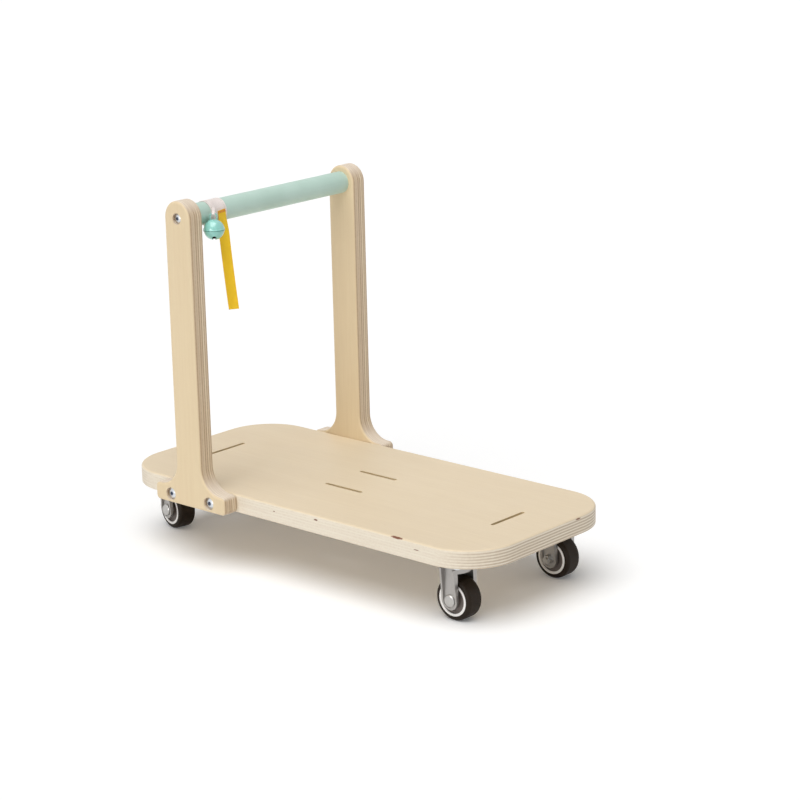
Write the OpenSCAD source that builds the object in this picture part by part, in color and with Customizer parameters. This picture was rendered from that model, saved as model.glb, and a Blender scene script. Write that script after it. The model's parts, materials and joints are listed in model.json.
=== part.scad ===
// Flat-deck push trolley of plywood on four swivel casters, with a round push bar between
// two uprights and a jingle bell and a ribbon on a cuff round the bar.
// Millimetres. +X points to the open end of the deck, +Y to the left hand of someone who
// pushes at the bar, +Z up. The origin is on the floor below the middle of the deck.

/* [Deck] */
// Length of the deck
deck_length = 470; // [440:1:560]
// Width of the deck, which is also the distance between the uprights
deck_width = 210; // [200:1:280]
// Thickness of the deck board
deck_thickness = 18; // [16:1:24]
// Radius of the deck's corners in plan
deck_corner = 52; // [20:1:60]
// Radius rounded over the edges of all the boards
arris = 2.5; // [1:0.25:3.5]
// Radius rounded over the lower edge of the deck
under_arris = 1; // [0.5:0.25:2.5]
// Length of the strap slots
slot_length = 48; // [30:1:60]
// Width of the strap slots
slot_width = 4; // [2:0.5:6]
// Distance of the cross slots from the ends of the deck
slot_setback = 49; // [30:1:80]
// Distance of the long slots from the middle line
slot_side = 25; // [15:1:45]

/* [Uprights] */
// Thickness of the upright boards
upright_thickness = 18; // [15:1:24]
// Width of the post
post_width = 34; // [28:1:40]
// Height of the uprights above the deck
upright_rise = 286.5; // [200:0.5:400]
// Distance of the posts' middle from the rear end of the deck
post_setback = 120; // [105:1:170]
// Length of the foot past the sweep
foot_toe = 6; // [5:0.5:20]
// Radius of the foot's corners
foot_corner = 4.5; // [4:0.25:5]
// Radius of the sweep between post and foot
sweep_radius = 25; // [18:1:40]

/* [Handle] */
// Diameter of the push bar
handle_diameter = 22; // [18:0.5:28]
// Thickness of the cuff round the bar
cuff_thickness = 0.7; // [0.5:0.1:1.5]
// Distance of the cuff from the upright beside it
cuff_gap = 17; // [14:1:30]
// Width of the cuff past the ribbon
cuff_hem = 2.5; // [0:0.1:6]

/* [Bolts] */
// Diameter of the bolts through the uprights
bolt_diameter = 6; // [4:0.5:7]
// Length of the foot bolts below the head
foot_bolt_length = 38; // [30:1:55]
// Length of the bar bolts below the head
handle_bolt_length = 40; // [30:1:60]
// Diameter of the foot bolts' heads
foot_head_diameter = 11.5; // [10:0.5:13]
// Diameter of the bar bolts' heads
handle_head_diameter = 9.5; // [8.5:0.5:13]
// Height of the bolt heads
head_height = 3.2; // [2:0.2:4]
// Distance of each foot bolt from the post's middle
foot_bolt_reach = 26.5; // [22:0.5:34]
// Depth of the counterbores
counterbore_depth = 4; // [3:0.5:6]
// Room round a bolt head in its counterbore
counterbore_room = 0.7; // [0.3:0.1:1.5]
// Diameter of the threaded inserts
insert_diameter = 10; // [9:0.5:12]
// Length of the threaded inserts
insert_length = 13; // [8:1:20]

/* [Casters] */
// Distance of the front casters' pivots from the front end of the deck
front_setback = 52; // [45:1:110]
// Distance of the front casters' pivots from the side of the deck
front_inset = 32; // [30:1:60]
// Distance of the rear casters' pivots from the rear end of the deck
rear_setback = 25.5; // [23:0.5:80]
// Distance of the rear casters' pivots from the side of the deck
rear_inset = 55.5; // [45:0.5:64]
// Height of the deck's underside above the axles
axle_drop = 38.5; // [36:0.5:60]
// Distance of the axle from the pivot
trail = 4; // [3:0.5:12]
// Angle at which the left rear caster stands
rear_left_turn = 189; // [0:1:359]
// Angle at which the right rear caster stands
rear_right_turn = 168; // [0:1:359]
// Side of the square top plate
plate_side = 42; // [40:1:50]
// Radius of the top plate's corners
plate_corner = 6; // [2:0.5:10]
// Distance between the plate's screw holes
plate_pitch = 32; // [31:0.5:34]
// Thickness of the caster's sheet steel
sheet = 2; // [1.5:0.1:2.5]
// Width of the fork's crown outside the ball track
crown_lip = 2; // [1.5:0.5:3]
// Depth of the crown's turned-down rim
crown_rim = 5.5; // [3:0.5:8]
// Diameter of the bearing balls
ball_diameter = 4; // [3:0.5:5]
// Number of bearing balls
ball_count = 12; // [8:1:14]
// Diameter of the kingpin
kingpin_diameter = 7; // [6:0.5:8]
// Half width of the fork's legs at the axle
leg_radius = 9; // [8:0.5:11]
// Height of the legs' turned-out edges at the axle
leg_edge = 1.2; // [0.5:0.1:2]
// Height of the legs' turned-out edges under the crown
leg_edge_top = 4; // [2:0.5:6]

/* [Wheels] */
// Diameter of the wheels
wheel_diameter = 41; // [40:1:48]
// Width of the tyres
tyre_width = 19; // [15:1:20]
// Radius of the tyres' shoulders
tyre_shoulder = 3.5; // [2:0.5:4]
// Outer radius of the pale trim rings
trim_radius = 16; // [14:0.1:16.5]
// Width of the trim rings
trim_width = 2.5; // [1.5:0.1:3]
// Diameter of the axle bolts
axle_diameter = 5; // [4:0.5:6]
// Outer diameter of the axle bushes
bush_diameter = 8; // [7.5:0.5:10]
// Diameter of the axle bolts' heads
axle_head_diameter = 12; // [8:0.5:12.5]
// Side gap between tyre and fork
fork_gap = 1.5; // [1:0.1:2.5]

/* [Bell and ribbon] */
// Diameter of the bell
bell_diameter = 20; // [16:0.5:21]
// Thickness of the bell's shell
bell_wall = 0.8; // [0.6:0.1:1.2]
// Width of the bell's wire ring between the middles of its legs
ring_width = 6.2; // [5.6:0.2:8]
// Height of the ring above the bell
ring_rise = 5.2; // [4.5:0.1:8]
// Thickness of the ring's wire
ring_wire = 1.2; // [1:0.1:1.6]
// Angle at which the tab and the bell are turned away from the ribbon
tab_turn = 45; // [30:1:50]
// Width of the ribbon
ribbon_width = 10; // [6:1:14]
// Length of the ribbon
ribbon_length = 100; // [60:1:150]
// Thickness of the ribbon
ribbon_thickness = 0.6; // [0.4:0.1:1]
// Angle at which the ribbon leans along the bar
ribbon_lean = 5; // [0:1:8]

/* [Hidden] */
$fn = 64;
// Play of a part that turns on a pin, on the radius
running_play = 0.05;
// Play of a fixed part in its hole, on the radius
fixed_play = 0.1;
// Gap between parts that pass or rest against each other
slip = 0.3;
// Reach of a cut past the face that it opens
past = 1;

birch = "burlywood";
zinc = "silver";
mint = "mediumaquamarine";

wheel_radius = wheel_diameter / 2;
deck_bottom = wheel_radius + axle_drop;
deck_middle = deck_bottom + deck_thickness / 2;
half_length = deck_length / 2;
half_width = deck_width / 2;
slot_reach = half_length - slot_setback;

upright_height = deck_thickness + upright_rise;
post_half = post_width / 2;
post_x = post_setback - half_length;
foot_half = post_half + sweep_radius + foot_toe;
handle_z = deck_bottom + upright_height - post_half;
handle_radius = handle_diameter / 2;

shank_radius = bolt_diameter / 2;
shank_hole = shank_radius + fixed_play;
foot_counterbore = foot_head_diameter / 2 + counterbore_room;
handle_counterbore = handle_head_diameter / 2 + counterbore_room;
insert_hole = insert_diameter / 2 + fixed_play;
foot_hole_depth = foot_bolt_length + counterbore_depth - upright_thickness + past;
handle_hole_depth = handle_bolt_length + counterbore_depth - upright_thickness + past;
// Shares of a domed head: its dome's height, its socket's radius and its socket's depth
dome_share = 0.55;
socket_share = 0.38;
socket_depth_share = 0.6;

screw_radius = 1.75;
screw_head_radius = 3.4;
screw_head_height = 2;
screw_length = 12;

// Heights in a caster, from the deck down
plate_under = deck_bottom - sheet;
track_depth = ball_diameter / 8;
ball_z = plate_under + track_depth - ball_diameter / 2 - running_play;
crown_top = ball_z - ball_diameter / 2 + track_depth - running_play;
crown_under = crown_top - sheet;
dish_lift = 0.8;
dish_under = crown_top + dish_lift;
dish_floor = dish_under + sheet;
pin_head_height = 2;
pin_top_height = 1.5;
washer_height = 1.2;
washer_under = crown_under - slip - washer_height;
pin_bottom = washer_under - pin_head_height;

// Radii in a caster, from the kingpin out
pin_radius = kingpin_diameter / 2;
pin_head_flare = 2;
pin_head_radius = pin_radius + pin_head_flare;
washer_flare = 1;
dish_room = 0.6;
dish_radius = pin_head_radius + dish_room;
track_room = 0.9;
track_radius = dish_radius + sheet + track_room + ball_diameter / 2;
crown_radius = track_radius + ball_diameter / 2 + crown_lip;

// Fork and axle
fork_half = tyre_width / 2 + fork_gap;
leg_face = fork_half + sheet;
leg_hole = axle_diameter / 2 + fixed_play;
leg_front_taper = 1.5;
axle_head_height = 2;
axle_head_bevel = 0.8;
nut_flats = axle_diameter * 1.6;
nut_height = axle_diameter * 0.8;
axle_tip = 2;

// Wheel
hub_radius = trim_radius - trim_width;
bush_radius = bush_diameter / 2;
boss_wall = 2.4;
boss_radius = bush_radius + boss_wall;
boss_half = fork_half - slip;
rim_wall = 2;
rim_step = 1.6;
rim_half = tyre_width / 2 - rim_step;
hub_recess = 0.9;
web_half = rim_half - hub_recess;
trim_height = 0.9;

// Cuff, with the tab that takes the bell's ring
wire_radius = ring_wire / 2;
cuff_inner = handle_radius + fixed_play;
cuff_outer = cuff_inner + cuff_thickness;
cuff_start = cuff_gap - half_width;
tab_room = 0.75;
tab_wall = 0.7;
tab_inner = wire_radius + tab_room;
tab_outer = tab_inner + tab_wall;
tab_width = 3;
tab_rise = 2.25;
tab_margin = 0.3;

// Bell, hung by its ring from the tab
bell_radius = bell_diameter / 2;
ring_run = tab_width / 2 + slip;
ring_bend = ring_width / 2 - ring_run;
ring_tail = 2;
ring_z = handle_z + tab_rise - tab_room + slip;
bell_z = ring_z - ring_rise - bell_radius;
// Distance of the bell ahead of the bar, so that it hangs clear of the cuff
bell_clear_squared = pow(bell_radius + cuff_outer + slip, 2) - pow(handle_z - bell_z, 2);
bell_reach = max(sqrt(max(bell_clear_squared, 0)), cuff_outer + tab_outer);
bell_x = post_x + bell_reach;
tab_start = cuff_start + tab_margin + tab_width / 2 / cos(tab_turn);
tab_y = tab_start - (bell_reach - cuff_outer) * tan(tab_turn);
seam_bead = 0.6;
seam_margin = 0.1;
slit_width = bell_diameter / 10;
slit_reach = bell_radius * 0.65;
slit_end = slit_width * 1.1;
slit_margin = 2;
pellet_radius = bell_radius * 0.3;

// Ribbon, beside the bell
ribbon_gap = 1.4;
ribbon_y = tab_y + bell_radius + ribbon_gap + ribbon_width / 2;
ribbon_rise = 2;
cuff_width = ribbon_y + ribbon_width / 2 + cuff_hem - cuff_start;

// Each caster: name, pivot, angle and the side that its axle bolt goes in from
front_x = half_length - front_setback;
front_y = half_width - front_inset;
rear_x = rear_setback - half_length;
rear_y = half_width - rear_inset;
CASTERS = [
    ["front_left", [front_x, front_y], 0, -1],
    ["front_right", [front_x, -front_y], 0, 1],
    ["rear_left", [rear_x, rear_y], rear_left_turn, 1],
    ["rear_right", [rear_x, -rear_y], rear_right_turn, -1]
];
CASTER_PIECES = [
    "plate", "balls", "kingpin", "fork", "axle_bolt", "axle_nut", "bush", "hub", "tyre", "trim_rings"
];

// Rectangle with round corners, about the middle
module round_rectangle(length, width, corner) {
    square([length - 2 * corner, width], center = true);
    square([length, width - 2 * corner], center = true);
    for (x = [-1, 1], y = [-1, 1])
        translate([x * (length / 2 - corner), y * (width / 2 - corner)]) circle(corner);
}

// Ring of a round wire about the Z axis
module wire_ring(mean, wire) {
    rotate_extrude() translate([mean, 0]) circle(wire);
}

// Section of a board's rounded edge: outwards along X, through the board along Y, its lower corner by itself
module edge_section(thickness, lower = arris) {
    translate([0, lower]) square([arris, thickness - arris - lower]);
    translate([0, thickness - arris]) intersection() {
        circle(arris);
        square(arris);
    }
    translate([arris - lower, lower]) intersection() {
        circle(lower);
        translate([0, -lower]) square(lower);
    }
    if (lower < arris) square([arris - lower, lower]);
}

// Rounded edge along a straight side, with the board on the left of its direction
module straight_edge(from, to, thickness, lower = arris) {
    run = to - from;
    translate(from) rotate(atan2(run.y, run.x)) translate([norm(run), arris, 0])
        rotate([90, 0, -90]) linear_extrude(norm(run)) edge_section(thickness, lower);
}

// Rounded edge round an outer corner
module outer_edge(centre, radius, start, sweep, thickness, lower = arris) {
    translate(centre) rotate(start)
        rotate_extrude(angle = sweep) translate([radius - arris, 0]) edge_section(thickness, lower);
}

// Rounded edge round an inner corner
module inner_edge(centre, radius, start, sweep, thickness) {
    translate(centre) rotate(start)
        rotate_extrude(angle = sweep) translate([radius + arris, 0]) mirror([1, 0])
            edge_section(thickness);
}

// Deck board with rounded edges, before it is drilled
module deck_board() {
    x = half_length;
    y = half_width;
    r = deck_corner;
    t = deck_thickness;
    linear_extrude(t) round_rectangle(deck_length - 2 * arris, deck_width - 2 * arris, r - arris);
    straight_edge([r - x, -y], [x - r, -y], t, under_arris);
    straight_edge([x, r - y], [x, y - r], t, under_arris);
    straight_edge([x - r, y], [r - x, y], t, under_arris);
    straight_edge([-x, y - r], [-x, r - y], t, under_arris);
    outer_edge([x - r, r - y], r, 270, 90, t, under_arris);
    outer_edge([x - r, y - r], r, 0, 90, t, under_arris);
    outer_edge([r - x, y - r], r, 90, 90, t, under_arris);
    outer_edge([r - x, r - y], r, 180, 90, t, under_arris);
}

// Slot with round ends, right through the deck
module strap_slot() {
    half_run = (slot_length - slot_width) / 2;
    translate([0, 0, deck_bottom - past]) linear_extrude(deck_thickness + 2 * past) {
        square([2 * half_run, slot_width], center = true);
        for (s = [-1, 1]) translate([s * half_run, 0]) circle(slot_width / 2);
    }
}

// Puts children at each foot bolt of one upright, pointing in from its outer face
module at_foot_bolts(side) {
    outer_face = side * (half_width + upright_thickness);
    for (s = [-1, 1])
        translate([post_x + s * foot_bolt_reach, outer_face, deck_middle])
            rotate([side * 90, 0, 0]) children();
}

// Puts children at the bar bolt of one upright, pointing in from its outer face
module at_handle_bolt(side) {
    translate([post_x, side * (half_width + upright_thickness), handle_z])
        rotate([side * 90, 0, 0]) children();
}

// Puts children at the pivot of each caster, under the deck
module at_each_caster() {
    for (c = CASTERS) translate([c[1].x, c[1].y, deck_bottom]) children();
}

// Puts children at the four screw holes of a caster's plate
module at_plate_holes() {
    for (x = [-1, 1], y = [-1, 1]) translate([x * plate_pitch / 2, y * plate_pitch / 2, 0]) children();
}

// Hole for a threaded insert and the bolt's end behind it, mouth at the origin
module insert_bore(depth) {
    translate([0, 0, -past]) cylinder(r = insert_hole, h = insert_length + past);
    cylinder(r = shank_hole, h = depth);
}

// Hole for a bolt through an upright, with the counterbore for its head
module bolt_bore(counterbore) {
    translate([0, 0, -past]) cylinder(r = counterbore, h = counterbore_depth + past);
    cylinder(r = shank_hole, h = upright_thickness + past);
}

module deck() {
    color(birch)
    difference() {
        translate([0, 0, deck_bottom]) deck_board();
        for (s = [-1, 1]) {
            translate([s * slot_reach, 0, 0]) rotate(90) strap_slot();
            translate([0, s * slot_side, 0]) strap_slot();
            at_foot_bolts(s) translate([0, 0, upright_thickness]) insert_bore(foot_hole_depth);
        }
        at_each_caster() at_plate_holes()
            translate([0, 0, -past]) cylinder(r = screw_radius + running_play, h = screw_length + past);
    }
}

// Face of an upright, drawn in from its outline by inset
module upright_face(inset) {
    bend = post_half + sweep_radius;
    translate([0, deck_thickness / 2])
        round_rectangle(2 * (foot_half - inset), deck_thickness - 2 * inset, foot_corner - inset);
    translate([inset - post_half, deck_thickness / 2])
        square([post_width - 2 * inset, upright_height - post_half - deck_thickness / 2]);
    translate([0, upright_height - post_half]) circle(post_half - inset);
    for (flip = [0, 1]) mirror([flip, 0])
        difference() {
            translate([0, deck_thickness / 2]) square([bend, deck_thickness / 2 + sweep_radius]);
            translate([bend, deck_thickness + sweep_radius]) circle(sweep_radius + inset);
        }
}

// Upright board lying flat, with its foot at the origin
module upright_board() {
    t = upright_thickness;
    f = foot_half;
    c = foot_corner;
    top = deck_thickness;
    bend = post_half + sweep_radius;
    crown = upright_height - post_half;
    linear_extrude(t) upright_face(arris);
    straight_edge([c - f, 0], [f - c, 0], t);
    outer_edge([f - c, c], c, 270, 90, t);
    straight_edge([f, c], [f, top - c], t);
    outer_edge([f - c, top - c], c, 0, 90, t);
    straight_edge([f - c, top], [bend, top], t);
    inner_edge([bend, top + sweep_radius], sweep_radius, 180, 90, t);
    straight_edge([post_half, top + sweep_radius], [post_half, crown], t);
    outer_edge([0, crown], post_half, 0, 180, t);
    straight_edge([-post_half, crown], [-post_half, top + sweep_radius], t);
    inner_edge([-bend, top + sweep_radius], sweep_radius, 270, 90, t);
    straight_edge([-bend, top], [c - f, top], t);
    outer_edge([c - f, top - c], c, 90, 90, t);
    straight_edge([-f, top - c], [-f, c], t);
    outer_edge([c - f, c], c, 180, 90, t);
}

// Upright on one side of the deck: side is 1 for the left and -1 for the right
module upright(side) {
    near_face = side > 0 ? half_width + upright_thickness : -half_width;
    color(birch)
    difference() {
        translate([post_x, near_face, deck_bottom]) rotate([90, 0, 0]) upright_board();
        at_foot_bolts(side) bolt_bore(foot_counterbore);
        at_handle_bolt(side) bolt_bore(handle_counterbore);
    }
}

module upright_left() { upright(1); }
module upright_right() { upright(-1); }

module handle_bar() {
    color(mint)
    difference() {
        translate([post_x, half_width, handle_z]) rotate([90, 0, 0])
            cylinder(r = handle_radius, h = deck_width);
        for (s = [-1, 1])
            at_handle_bolt(s) translate([0, 0, upright_thickness]) insert_bore(handle_hole_depth);
    }
}

// Domed bolt with a socket, head seated on the counterbore's floor, shank along +Z
module domed_bolt(head_radius, length) {
    dome = head_height * dome_share;
    dome_sphere = (head_radius * head_radius + dome * dome) / (2 * dome);
    translate([0, 0, counterbore_depth])
    difference() {
        union() {
            translate([0, 0, dome - head_height]) cylinder(r = head_radius, h = head_height - dome);
            cylinder(r = shank_radius, h = length);
            intersection() {
                translate([0, 0, -head_height]) cylinder(r = head_radius, h = head_height);
                translate([0, 0, dome_sphere - head_height]) sphere(dome_sphere);
            }
        }
        translate([0, 0, -head_height - past])
            cylinder(r = head_radius * socket_share, h = head_height * socket_depth_share + past, $fn = 6);
    }
}

// Threaded sleeve, mouth at the origin, along +Z
module insert_sleeve() {
    difference() {
        cylinder(r = insert_diameter / 2, h = insert_length);
        translate([0, 0, -past]) cylinder(r = shank_radius + running_play, h = insert_length + 2 * past);
    }
}

module foot_bolts() {
    color(zinc) for (s = [-1, 1]) at_foot_bolts(s) domed_bolt(foot_head_diameter / 2, foot_bolt_length);
}

module foot_inserts() {
    color("goldenrod") for (s = [-1, 1])
        at_foot_bolts(s) translate([0, 0, upright_thickness]) insert_sleeve();
}

module handle_bolts() {
    color(zinc) for (s = [-1, 1])
        at_handle_bolt(s) domed_bolt(handle_head_diameter / 2, handle_bolt_length);
}

module handle_inserts() {
    color("goldenrod") for (s = [-1, 1])
        at_handle_bolt(s) translate([0, 0, upright_thickness]) insert_sleeve();
}

module plate_screws() {
    color(zinc) at_each_caster() at_plate_holes() {
        translate([0, 0, -sheet]) cylinder(r = screw_radius, h = screw_length + sheet - slip);
        translate([0, 0, -sheet - screw_head_height])
            cylinder(r = screw_head_radius, h = screw_head_height);
    }
}

// Puts children at the middle of the tab's eye, with +X out from the bar and +Y along the eye
module at_tab() {
    translate([bell_x, tab_y, handle_z + tab_rise]) rotate(-tab_turn) children();
}

// Cuff round the bar, with a folded tab that holds the bell's ring
module cuff() {
    tab_run = bell_reach / cos(tab_turn);
    color("mistyrose") difference() {
        union() {
            translate([post_x, cuff_start, handle_z]) rotate([-90, 0, 0])
                cylinder(r = cuff_outer, h = cuff_width);
            at_tab() rotate([90, 0, 0]) cylinder(r = tab_outer, h = tab_width, center = true);
            at_tab() translate([-tab_run, -tab_width / 2, -tab_wall])
                cube([tab_run, tab_width, 2 * tab_wall]);
        }
        translate([post_x, -half_width, handle_z]) rotate([-90, 0, 0])
            cylinder(r = cuff_inner, h = deck_width);
        at_tab() rotate([90, 0, 0]) cylinder(r = tab_inner, h = tab_width + 2 * past, center = true);
    }
}

// Puts children at the middle of the bell, turned as the tab is
module at_bell() {
    translate([bell_x, tab_y, bell_z]) rotate(-tab_turn) children();
}

// Bent wire through the tab, with both legs in the bell's crown
module bell_ring() {
    leg_length = ring_rise + bell_wall + ring_tail - ring_bend;
    color(mint) at_bell() translate([0, 0, bell_radius + ring_rise]) {
        rotate([90, 0, 0]) cylinder(r = wire_radius, h = 2 * ring_run, center = true);
        for (flip = [0, 1]) mirror([0, flip, 0]) translate([0, ring_run, -ring_bend]) {
            rotate([90, 0, 90]) rotate_extrude(angle = 90) translate([ring_bend, 0]) circle(wire_radius);
            translate([0, ring_bend, -leg_length]) cylinder(r = wire_radius, h = leg_length);
        }
    }
}

// Half of the bell's shell with a bead along its seam: side is 1 for the upper half and -1 for the lower
module bell_half(side) {
    bead_mean = bell_radius - bell_wall + seam_margin + seam_bead;
    intersection() {
        difference() {
            sphere(bell_radius);
            sphere(bell_radius - bell_wall);
        }
        translate([-bell_diameter, -bell_diameter, side > 0 ? 0 : -2 * bell_diameter])
            cube(2 * bell_diameter);
    }
    translate([0, 0, side * (seam_bead + seam_margin)]) wire_ring(bead_mean, seam_bead);
}

// Upper half, with the holes for the ring's legs
module bell_top() {
    color(mint) at_bell() difference() {
        bell_half(1);
        for (s = [-1, 1]) translate([0, s * ring_width / 2, 0])
            cylinder(r = wire_radius + fixed_play, h = bell_diameter);
    }
}

// Lower half with a slit that ends in round holes
module bell_bottom() {
    cut = bell_diameter - slit_margin;
    color(mint) at_bell() difference() {
        bell_half(-1);
        translate([0, 0, -bell_diameter]) {
            translate([-slit_reach, -slit_width / 2, 0]) cube([2 * slit_reach, slit_width, cut]);
            for (s = [-1, 1]) translate([s * slit_reach, 0, 0]) cylinder(r = slit_end, h = cut);
        }
    }
}

module bell_pellet() {
    color(zinc) at_bell() translate([0, 0, pellet_radius + bell_wall + slip - bell_radius])
        sphere(pellet_radius);
}

// Ribbon sewn to the front of the cuff, hanging straight
module ribbon() {
    color("gold")
        translate([post_x + cuff_outer + fixed_play, ribbon_y, handle_z + ribbon_rise])
            rotate([ribbon_lean, 0, 0]) translate([0, -ribbon_width / 2, -ribbon_length])
                cube([ribbon_thickness, ribbon_width, ribbon_length]);
}

// Puts children at a caster's pivot, turned to its angle
module at_caster(c) {
    translate(c[1]) rotate(c[2]) children();
}

// Puts children on a caster's axle, with +Z to the side that its bolt goes in from
module on_axle(c) {
    at_caster(c) translate([trail, 0, wheel_radius]) rotate([c[3] * 90, 0, 0]) children();
}

// Ring that cuts the balls' track into the sheet
module ball_track() {
    translate([0, 0, ball_z]) wire_ring(track_radius, ball_diameter / 2 + running_play);
}

// Stamped top plate: a dished middle for the kingpin's head and a track for the balls
module plate() {
    color(zinc) difference() {
        union() {
            translate([0, 0, plate_under]) linear_extrude(sheet)
                round_rectangle(plate_side, plate_side, plate_corner);
            translate([0, 0, dish_under]) cylinder(r = dish_radius + sheet, h = plate_under - dish_under);
        }
        translate([0, 0, dish_floor]) cylinder(r = dish_radius, h = deck_bottom);
        translate([0, 0, dish_under - past]) cylinder(r = pin_radius + fixed_play, h = deck_bottom);
        ball_track();
        translate([0, 0, plate_under - past]) at_plate_holes()
            cylinder(r = screw_radius + slip, h = sheet + 2 * past);
    }
}

module balls() {
    color("gainsboro") for (i = [1 : ball_count])
        rotate(i * 360 / ball_count) translate([track_radius, 0, ball_z]) sphere(ball_diameter / 2, $fn = 32);
}

// Rivet through plate and crown, with a head at each end and a washer under the crown
module kingpin() {
    color(zinc) {
        translate([0, 0, pin_bottom]) cylinder(r = pin_radius, h = dish_floor - pin_bottom);
        translate([0, 0, dish_floor]) cylinder(r = pin_head_radius, h = pin_top_height);
        translate([0, 0, pin_bottom]) cylinder(r = pin_head_radius, h = pin_head_height);
        translate([0, 0, washer_under]) cylinder(r = pin_head_radius + washer_flare, h = washer_height);
    }
}

// Side view of a fork leg about the axle, drawn in from its outline by inset
module leg_outline(inset) {
    rise = crown_top - wheel_radius;
    circle(leg_radius - inset);
    polygon([
        [inset - leg_radius, 0],
        [leg_radius - inset, 0],
        [leg_radius - leg_front_taper - inset, rise],
        [inset - leg_radius, rise]
    ]);
}

// One leg, a channel with its edges turned out and tapering to its foot: side is 1 or -1 along the axle
module leg(side) {
    rise = crown_under - wheel_radius;
    slope = atan((leg_edge_top - leg_edge) / rise);
    reach = 2 * crown_top;
    translate([trail, 0, wheel_radius]) mirror([0, side > 0 ? 1 : 0, 0])
        rotate([90, 0, 0]) translate([0, 0, fork_half]) {
            linear_extrude(sheet) leg_outline(0);
            difference() {
                linear_extrude(sheet + leg_edge_top) difference() {
                    leg_outline(0);
                    leg_outline(sheet);
                    translate([-reach / 2, rise]) square(reach);
                }
                translate([0, 0, sheet + leg_edge]) rotate([slope, 0, 0])
                    translate([-reach / 2, -reach / 2, 0]) cube(reach);
            }
        }
}

// Rim turned down from the crown between the legs, with a round lower edge
module crown_edge() {
    edge_radius = sheet / 2;
    rim_bottom = crown_under - crown_rim;
    intersection() {
        rotate_extrude() {
            translate([crown_radius - sheet, rim_bottom + edge_radius])
                square([sheet, crown_rim - edge_radius]);
            translate([crown_radius - edge_radius, rim_bottom + edge_radius]) circle(edge_radius);
        }
        translate([-2 * crown_radius, -leg_face, 0]) cube([4 * crown_radius, 2 * leg_face, deck_bottom]);
    }
}

// Stamped fork: a crown with its rim, and two legs
module fork() {
    color(zinc) difference() {
        union() {
            translate([0, 0, crown_under]) linear_extrude(sheet) {
                circle(crown_radius);
                translate([trail - leg_radius, -leg_face])
                    square([2 * leg_radius - leg_front_taper, 2 * leg_face]);
            }
            crown_edge();
            leg(-1);
            leg(1);
        }
        translate([0, 0, crown_under - past])
            cylinder(r = pin_radius + running_play, h = sheet + 2 * past);
        ball_track();
        translate([trail, 0, wheel_radius]) rotate([90, 0, 0])
            cylinder(r = leg_hole, h = 4 * leg_face, center = true);
    }
}

// Axle bolt along the axle, with its flat bevelled head at +Z
module axle_bolt() {
    head_radius = axle_head_diameter / 2;
    side = axle_head_height - axle_head_bevel;
    length = 2 * leg_face + nut_height + axle_tip;
    color(zinc) {
        translate([0, 0, leg_face - length]) cylinder(r = axle_diameter / 2, h = length);
        translate([0, 0, leg_face]) cylinder(r = head_radius, h = side);
        translate([0, 0, leg_face + side])
            cylinder(r1 = head_radius, r2 = head_radius - axle_head_bevel, h = axle_head_bevel);
    }
}

module axle_nut() {
    color(zinc) translate([0, 0, -leg_face - nut_height]) difference() {
        cylinder(d = nut_flats / cos(30), h = nut_height, $fn = 6);
        translate([0, 0, -past]) cylinder(r = axle_diameter / 2 + running_play, h = nut_height + 2 * past);
    }
}

module bush() {
    color("darkgray") difference() {
        cylinder(r = bush_radius, h = 2 * fork_half, center = true);
        cylinder(r = axle_diameter / 2 + running_play, h = 2 * fork_half + past, center = true);
    }
}

// Moulded hub: boss, web and rim
module hub() {
    color("dimgray") difference() {
        union() {
            cylinder(r = boss_radius, h = 2 * boss_half, center = true);
            cylinder(r = hub_radius, h = 2 * web_half, center = true);
            difference() {
                cylinder(r = hub_radius, h = 2 * rim_half, center = true);
                cylinder(r = hub_radius - rim_wall, h = 2 * rim_half + past, center = true);
            }
        }
        cylinder(r = bush_radius + running_play, h = 2 * boss_half + past, center = true);
    }
}

// Rubber tyre with round shoulders, and a step in each face for the trim ring
module tyre() {
    bore = hub_radius + fixed_play;
    shoulder_radius = wheel_radius - tyre_shoulder;
    shoulder_half = tyre_width / 2 - tyre_shoulder;
    color("black") rotate_extrude() difference() {
        union() {
            translate([bore, -tyre_width / 2]) square([shoulder_radius - bore, tyre_width]);
            translate([shoulder_radius, -shoulder_half]) square([tyre_shoulder, 2 * shoulder_half]);
            for (s = [-1, 1]) translate([shoulder_radius, s * shoulder_half]) intersection() {
                circle(tyre_shoulder);
                translate([0, -tyre_shoulder]) square(2 * tyre_shoulder);
            }
        }
        for (s = [-1, 1])
            translate([trim_radius / 2, s * (tyre_width / 2 - trim_height + past)])
                square([trim_radius, 2 * past], center = true);
    }
}

// Pale ring seated in the step of each tyre face
module trim_rings() {
    seat = tyre_width / 2 - trim_height;
    color("white") for (s = [-1, 1]) translate([0, 0, s > 0 ? seat : -seat - trim_height])
        difference() {
            cylinder(r = trim_radius - fixed_play, h = trim_height);
            translate([0, 0, -past]) cylinder(r = hub_radius, h = trim_height + 2 * past);
        }
}

deck();
upright_left();
upright_right();
handle_bar();
foot_bolts();
foot_inserts();
handle_bolts();
handle_inserts();
plate_screws();
cuff();
bell_ring();
bell_top();
bell_bottom();
bell_pellet();
ribbon();
for (c = CASTERS) {
    translate(c[1]) plate();
    translate(c[1]) balls();
    translate(c[1]) kingpin();
    at_caster(c) fork();
    on_axle(c) axle_bolt();
    on_axle(c) axle_nut();
    on_axle(c) bush();
    on_axle(c) hub();
    on_axle(c) tyre();
    on_axle(c) trim_rings();
}
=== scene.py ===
"""Looks of the plywood push trolley: a finish for every solid, the cloth cuff and ribbon on the bar with
their stitching, a pale studio, and the camera of the photograph."""

import json
import math

import bpy
from mathutils import Matrix, Vector


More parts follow.
